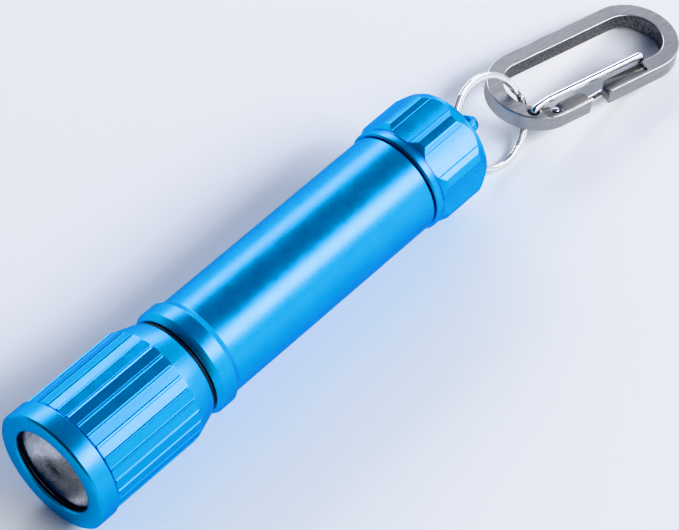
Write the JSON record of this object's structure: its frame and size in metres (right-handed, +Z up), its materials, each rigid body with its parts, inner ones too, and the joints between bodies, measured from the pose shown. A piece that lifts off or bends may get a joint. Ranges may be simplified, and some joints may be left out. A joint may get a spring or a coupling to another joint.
{
  "type": "keychain flashlight",
  "caption": "Small round metal keychain flashlight with a fluted head and tail cap, a split ring in the tail lug and a flat wire-gate carabiner.",
  "frame": {"origin": "middle of the whole object's box in plan, on the surface it lies on", "axes": "+X along the light from the lens to the tail and carabiner, +Z up, the light lying on its side"},
  "size_m": [0.1146, 0.019, 0.0176],
  "materials": {
    "blue_anodised": "satin anodised",
    "clear_lens": "polished",
    "reflector_metal": "polished",
    "black_rubber": "matt",
    "led_board_white": "white solder mask on metal",
    "driver_board_green": "circuit board",
    "led_package_white": "pale phosphor",
    "machined_aluminium": "turned",
    "brass": "machined",
    "spring_steel": "bright wire",
    "nickel_plate": "nickel-plated steel can, average density of a cell",
    "cell_sleeve_grey": "printed film without print",
    "black_plastic": "moulded",
    "red_insulation": "extruded",
    "polished_steel": "polished",
    "brushed_stainless": "brushed"
  },
  "bodies": {
    "body": {"body_tube": "blue_anodised", "head_oring": "black_rubber", "cell_positive_cap": "nickel_plate", "cell_seal": "black_plastic", "cell_can": "nickel_plate", "cell_sleeve": "cell_sleeve_grey"},
    "head_carrier": {"contact_spring": "spring_steel"},
    "head": {"bezel_ring": "blue_anodised", "lens_oring": "black_rubber", "lens": "clear_lens", "reflector": "reflector_metal", "led_board": "led_board_white", "led_package": "led_package_white", "led_dome": "clear_lens", "heat_sink": "machined_aluminium", "led_wire_positive": "red_insulation", "led_wire_negative": "black_plastic", "driver_board": "driver_board_green", "driver_inductor": "black_plastic", "driver_chip": "black_plastic", "head_shell": "blue_anodised"},
    "cap_carrier": {"tail_spring": "spring_steel", "tail_contact": "brass"},
    "cap": {"tail_cap": "blue_anodised"},
    "ring": {"split_ring": "polished_steel"},
    "carabiner": {"carabiner_frame": "brushed_stainless", "gate_lower_end": "polished_steel"},
    "gate": {"carabiner_gate": "polished_steel"}
  },
  "joints": [
    {"name": "head_travel", "type": "slide", "parent": "body", "child": "head_carrier", "axis": [-1, 0, 0], "range_m": [0, 0.005]},
    {"name": "head_turn", "type": "hinge", "parent": "head_carrier", "child": "head", "pos_m": [-0.049, 0.0007, 0.0088], "axis": [-1, 0, 0], "range_deg": [0, 1800]},
    {"name": "cap_travel", "type": "slide", "parent": "body", "child": "cap_carrier", "axis": [1, 0, 0], "range_m": [0, 0.005]},
    {"name": "cap_turn", "type": "hinge", "parent": "cap_carrier", "child": "cap", "pos_m": [0.011, 0.0007, 0.0088], "axis": [1, 0, 0], "range_deg": [0, 1800]},
    {"name": "ring_swing", "type": "hinge", "parent": "cap", "child": "ring", "pos_m": [0.01875, 0.0007, 0.0088], "axis": [0, 0.5, 0.866], "range_deg": [-60, 60]},
    {"name": "carabiner_swing", "type": "hinge", "parent": "ring", "child": "carabiner", "pos_m": [0.03038, -0.00022, 0.00485], "axis": [0.1456, 0.532, 0.8341], "range_deg": [-45, 45]},
    {"name": "gate_open", "type": "hinge", "parent": "carabiner", "child": "gate", "pos_m": [0.02935, -0.00324, 0.00612], "axis": [0.1303, -0.0329, 0.9909], "range_deg": [0, 20], "stiffness_Nm_per_rad": 0.02, "springref_deg": -20.05}
  ],
  "couplings": [
    {"joint": "head_turn", "follows": "head_travel", "rad_per_m": 6283.1},
    {"joint": "cap_turn", "follows": "cap_travel", "rad_per_m": 6283.1}
  ]
}
